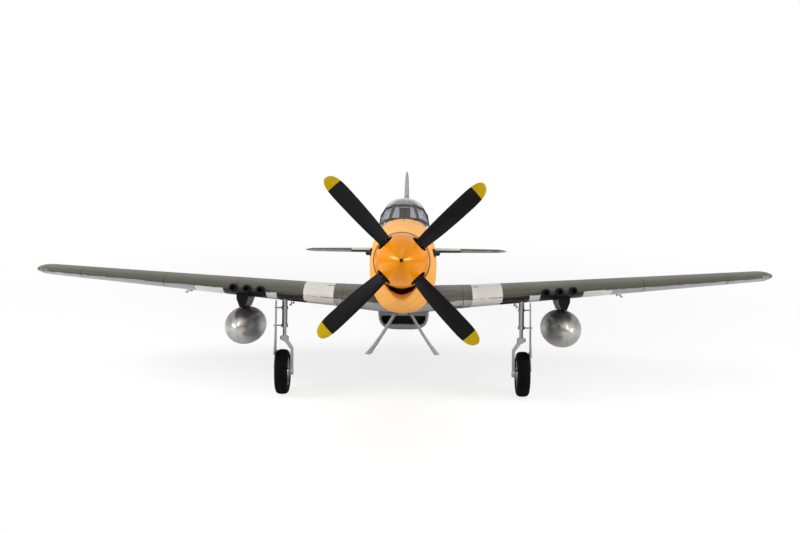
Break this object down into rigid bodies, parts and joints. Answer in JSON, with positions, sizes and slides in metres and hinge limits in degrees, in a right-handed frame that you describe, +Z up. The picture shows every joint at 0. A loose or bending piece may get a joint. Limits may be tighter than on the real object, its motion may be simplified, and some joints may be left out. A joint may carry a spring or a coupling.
{
  "type": "radio-controlled fighter airplane",
  "caption": "Low-wing propeller fighter model with spinning propeller, retracting sprung landing gear, moving control surfaces and lift-off canopy hatch.",
  "frame": {"origin": "on the ground under the middle of the bounding box, the model standing on its three wheels", "axes": "+X along the span toward the model's own left wing tip, -Y toward the nose, +Z up"},
  "size_m": [1.5, 1.3112, 0.4746],
  "materials": {
    "olive_foam": "satin painted foam, olive drab above and silver below",
    "silver_foam": "satin silver painted foam",
    "yellow_cowl": "semi-gloss yellow paint",
    "orange_spinner": "glossy orange-yellow plastic",
    "black_plastic": "matt black moulded plastic",
    "blade_nylon": "satin black nylon with yellow tips",
    "silver_tank": "metallic silver paint",
    "machined_alloy": "machined satin alloy",
    "steel": "bright steel wire and pins",
    "tyre_rubber": "matt black rubber",
    "clear_glazing": "smoked clear moulding",
    "frame_paint": "dark olive-grey painted frame",
    "battery_wrap": "shrink wrap",
    "servo_case": "translucent blue servo case",
    "carbon_tube": "pultruded carbon",
    "white_nylon": "white nylon"
  },
  "bodies": {
    "airframe": {"fuselage": "silver_foam", "nose_cowl": "yellow_cowl", "exhaust_stacks": "black_plastic", "motor_mount": "machined_alloy", "motor_stator": "steel", "speed_controller": "black_plastic", "flight_battery": "battery_wrap", "receiver": "black_plastic", "servos": "servo_case", "left_wing": "olive_foam", "right_wing": "olive_foam", "wing_spar": "carbon_tube", "gun_barrels": "black_plastic", "tank_pylons": "black_plastic", "left_drop_tank": "silver_tank", "right_drop_tank": "silver_tank", "belly_scoop": "silver_foam", "tail_fin": "olive_foam", "tailplane": "olive_foam", "retract_units": "machined_alloy"},
    "propeller": {"spinner": "orange_spinner", "spinner_backplate": "machined_alloy", "prop_blades": "blade_nylon", "prop_hub": "machined_alloy", "spinner_screw": "steel", "motor_bell": "steel"},
    "elevator": {"elevator": "olive_foam"},
    "rudder": {"rudder": "olive_foam"},
    "tail_leg": {"tail_leg": "machined_alloy"},
    "tail_wheel": {"tail_wheel": "tyre_rubber"},
    "hatch": {"hatch_deck": "yellow_cowl", "windscreen_frame": "frame_paint", "windscreen_glass": "clear_glazing", "canopy_glass": "clear_glazing", "cockpit_seat": "black_plastic", "instrument_panel": "black_plastic"},
    "left_leg": {"left_gear_leg": "machined_alloy", "left_strut_door": "silver_foam"},
    "left_oleo": {"left_oleo_fork": "machined_alloy"},
    "left_wheel": {"left_tyre": "tyre_rubber", "left_wheel_hub": "machined_alloy"},
    "left_inner_door": {"left_inner_door": "silver_foam"},
    "left_aileron": {"left_aileron": "olive_foam"},
    "left_flap": {"left_flap": "olive_foam"},
    "left_aileron_arm": {"left_aileron_arm": "white_nylon"},
    "left_aileron_rod": {"left_aileron_rod": "steel"},
    "left_flap_arm": {"left_flap_arm": "white_nylon"},
    "left_flap_rod": {"left_flap_rod": "steel"},
    "right_leg": {"right_gear_leg": "machined_alloy", "right_strut_door": "silver_foam"},
    "right_oleo": {"right_oleo_fork": "machined_alloy"},
    "right_wheel": {"right_tyre": "tyre_rubber", "right_wheel_hub": "machined_alloy"},
    "right_inner_door": {"right_inner_door": "silver_foam"},
    "right_aileron": {"right_aileron": "olive_foam"},
    "right_flap": {"right_flap": "olive_foam"},
    "right_aileron_arm": {"right_aileron_arm": "white_nylon"},
    "right_aileron_rod": {"right_aileron_rod": "steel"},
    "right_flap_arm": {"right_flap_arm": "white_nylon"},
    "right_flap_rod": {"right_flap_rod": "steel"}
  },
  "joints": [
    {"name": "propeller_spin", "type": "hinge", "parent": "airframe", "child": "propeller", "pos_m": [0, -0.59509, 0.33547], "axis": [0, 0.9782, -0.2079], "continuous": true},
    {"name": "left_gear_retract", "type": "hinge", "parent": "airframe", "child": "left_leg", "pos_m": [0.2385, -0.26758, 0.20248], "axis": [0, 0.9782, -0.2079], "range_deg": [0, 85]},
    {"name": "left_oleo_slide", "type": "slide", "parent": "left_leg", "child": "left_oleo", "axis": [0, 0.2079, 0.9782], "range_m": [0, 0.01], "stiffness_N_per_m": 2500, "springref_m": -0.01},
    {"name": "left_wheel_spin", "type": "hinge", "parent": "left_oleo", "child": "left_wheel", "pos_m": [0.2402, -0.30105, 0.045], "axis": [1, 0, 0], "continuous": true},
    {"name": "left_inner_door_close", "type": "hinge", "parent": "airframe", "child": "left_inner_door", "pos_m": [0.015, -0.27569, 0.16433], "axis": [0, -0.9782, 0.2079], "range_deg": [0, 64.5]},
    {"name": "left_aileron_hinge", "type": "hinge", "parent": "airframe", "child": "left_aileron", "pos_m": [0.452, -0.11739, 0.18708], "axis": [0.9894, -0.1013, 0.1039], "range_deg": [-20, 20]},
    {"name": "left_aileron_servo", "type": "hinge", "parent": "airframe", "child": "left_aileron_arm", "pos_m": [0.452, -0.16692, 0.19454], "axis": [0.9894, -0.1013, 0.1039], "range_deg": [-20, 20]},
    {"name": "left_aileron_link", "type": "hinge", "parent": "left_aileron_arm", "child": "left_aileron_rod", "pos_m": [0.4536, -0.17126, 0.1751], "axis": [0.9894, -0.1013, 0.1039], "range_deg": [-20, 20]},
    {"name": "left_flap_hinge", "type": "hinge", "parent": "airframe", "child": "left_flap", "pos_m": [0.236, -0.09527, 0.1644], "axis": [-0.9894, 0.1013, -0.1039], "range_deg": [0, 40]},
    {"name": "left_flap_servo", "type": "hinge", "parent": "airframe", "child": "left_flap_arm", "pos_m": [0.236, -0.14481, 0.17186], "axis": [-0.9894, 0.1013, -0.1039], "range_deg": [0, 40]},
    {"name": "left_flap_link", "type": "hinge", "parent": "left_flap_arm", "child": "left_flap_rod", "pos_m": [0.2382, -0.15078, 0.14504], "axis": [-0.9894, 0.1013, -0.1039], "range_deg": [-40, 0]},
    {"name": "right_gear_retract", "type": "hinge", "parent": "airframe", "child": "right_leg", "pos_m": [-0.2385, -0.26758, 0.20248], "axis": [0, -0.9782, 0.2079], "range_deg": [0, 85]},
    {"name": "right_oleo_slide", "type": "slide", "parent": "right_leg", "child": "right_oleo", "axis": [0, 0.2079, 0.9782], "range_m": [0, 0.01], "stiffness_N_per_m": 2500, "springref_m": -0.01},
    {"name": "right_wheel_spin", "type": "hinge", "parent": "right_oleo", "child": "right_wheel", "pos_m": [-0.2402, -0.30105, 0.045], "axis": [1, 0, 0], "continuous": true},
    {"name": "right_inner_door_close", "type": "hinge", "parent": "airframe", "child": "right_inner_door", "pos_m": [-0.015, -0.27569, 0.16433], "axis": [0, 0.9782, -0.2079], "range_deg": [0, 64.5]},
    {"name": "right_aileron_hinge", "type": "hinge", "parent": "airframe", "child": "right_aileron", "pos_m": [-0.452, -0.11739, 0.18708], "axis": [0.9894, 0.1013, -0.1039], "range_deg": [-20, 20]},
    {"name": "right_aileron_servo", "type": "hinge", "parent": "airframe", "child": "right_aileron_arm", "pos_m": [-0.452, -0.16692, 0.19454], "axis": [0.9894, 0.1013, -0.1039], "range_deg": [-20, 20]},
    {"name": "right_aileron_link", "type": "hinge", "parent": "right_aileron_arm", "child": "right_aileron_rod", "pos_m": [-0.4536, -0.17126, 0.1751], "axis": [0.9894, 0.1013, -0.1039], "range_deg": [-20, 20]},
    {"name": "right_flap_hinge", "type": "hinge", "parent": "airframe", "child": "right_flap", "pos_m": [-0.236, -0.09527, 0.1644], "axis": [-0.9894, -0.1013, 0.1039], "range_deg": [0, 40]},
    {"name": "right_flap_servo", "type": "hinge", "parent": "airframe", "child": "right_flap_arm", "pos_m": [-0.236, -0.14481, 0.17186], "axis": [-0.9894, -0.1013, 0.1039], "range_deg": [0, 40]},
    {"name": "right_flap_link", "type": "hinge", "parent": "right_flap_arm", "child": "right_flap_rod", "pos_m": [-0.2382, -0.15078, 0.14504], "axis": [-0.9894, -0.1013, 0.1039], "range_deg": [-40, 0]},
    {"name": "elevator_hinge", "type": "hinge", "parent": "airframe", "child": "elevator", "pos_m": [0, 0.49557, 0.13742], "axis": [1, 0, 0], "range_deg": [-20, 20]},
    {"name": "rudder_hinge", "type": "hinge", "parent": "airframe", "child": "rudder", "pos_m": [0, 0.56036, 0.19214], "axis": [0, 0.2079, 0.9782], "range_deg": [-25, 25]},
    {"name": "tail_steer", "type": "hinge", "parent": "airframe", "child": "tail_leg", "pos_m": [0, 0.27657, 0.07866], "axis": [0, 0.2079, 0.9782], "range_deg": [-25, 25]},
    {"name": "tail_wheel_spin", "type": "hinge", "parent": "tail_leg", "child": "tail_wheel", "pos_m": [0, 0.28106, 0.018], "axis": [1, 0, 0], "continuous": true},
    {"name": "hatch_lift", "type": "slide", "parent": "airframe", "child": "hatch", "axis": [0, 0.2079, 0.9782], "range_m": [0, 0.09]}
  ],
  "couplings": [
    {"joint": "left_aileron_servo", "follows": "left_aileron_hinge", "ratio": 1},
    {"joint": "left_aileron_link", "follows": "left_aileron_hinge", "ratio": -1},
    {"joint": "left_flap_servo", "follows": "left_flap_hinge", "ratio": 1},
    {"joint": "left_flap_link", "follows": "left_flap_hinge", "ratio": -1},
    {"joint": "right_aileron_servo", "follows": "left_aileron_hinge", "ratio": -1},
    {"joint": "right_aileron_link", "follows": "left_aileron_hinge", "ratio": 1},
    {"joint": "right_flap_servo", "follows": "left_flap_hinge", "ratio": 1},
    {"joint": "right_flap_link", "follows": "left_flap_hinge", "ratio": -1},
    {"joint": "right_aileron_hinge", "follows": "left_aileron_hinge", "ratio": -1},
    {"joint": "right_flap_hinge", "follows": "left_flap_hinge", "ratio": 1},
    {"joint": "right_gear_retract", "follows": "left_gear_retract", "ratio": 1},
    {"joint": "right_inner_door_close", "follows": "left_inner_door_close", "ratio": 1},
    {"joint": "tail_steer", "follows": "rudder_hinge", "ratio": 1}
  ]
}
